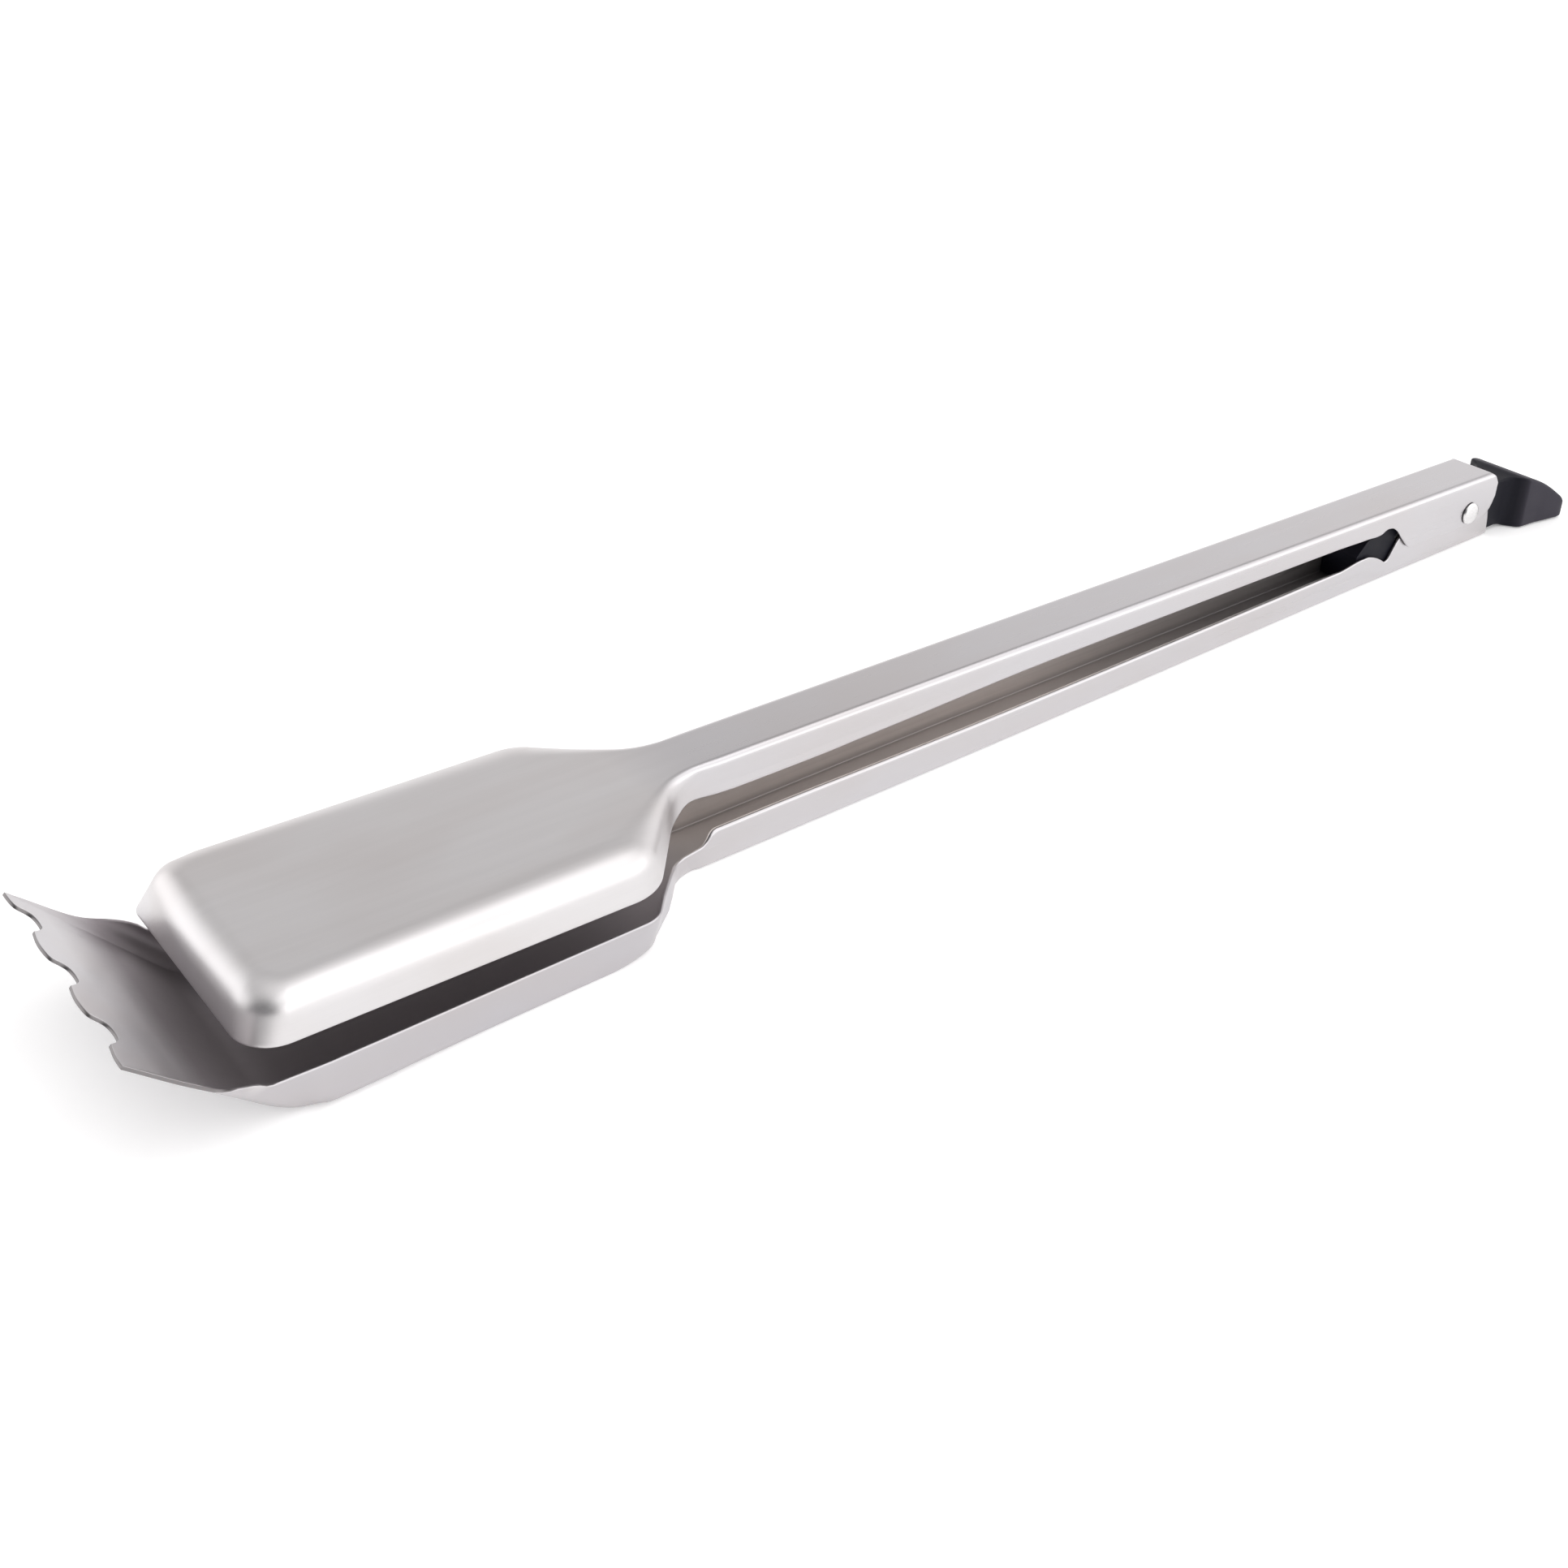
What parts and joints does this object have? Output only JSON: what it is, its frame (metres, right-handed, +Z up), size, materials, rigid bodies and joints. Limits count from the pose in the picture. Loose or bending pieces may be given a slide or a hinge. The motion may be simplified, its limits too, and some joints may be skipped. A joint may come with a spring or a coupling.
{
  "type": "kitchen tongs",
  "caption": "Long spring loaded steel tongs: channel arms on a rivet, a pressing jaw over a toothed scoop jaw, and a sliding lock with a pull tab.",
  "frame": {"origin": "on the flat underside of the lower arm, straight below the hinge rivet", "axes": "+X along the handle towards the pull tab, +Z up out of the surface it lies on, +Y across, mid-plane at Y = 0"},
  "size_m": [0.4685, 0.0657, 0.0304],
  "materials": {
    "brushed_steel": "fine lengthwise brushing, polished bends",
    "rivet_steel": "polished",
    "bush_steel": "turned",
    "spring_steel": "drawn wire",
    "slate_plastic": "satin moulded"
  },
  "bodies": {
    "lower": {"lower_arm": "brushed_steel", "torsion_spring": "spring_steel"},
    "upper": {"upper_arm": "brushed_steel", "hinge_rivet": "rivet_steel", "pivot_bush": "bush_steel"},
    "lock": {"lock_slider": "slate_plastic", "lock_pin": "rivet_steel", "pull_tab": "slate_plastic", "tab_pin": "rivet_steel"}
  },
  "joints": [
    {"name": "arm_hinge", "type": "hinge", "parent": "lower", "child": "upper", "pos_m": [0, 0, 0.0112], "axis": [0, 1, 0], "range_deg": [-1.1, 22], "stiffness_Nm_per_rad": 0.66, "springref_deg": 22, "deforming": ["torsion_spring"]},
    {"name": "lock_slide", "type": "slide", "parent": "lower", "child": "lock", "axis": [1, 0, 0], "range_m": [-0.006, 0]}
  ]
}
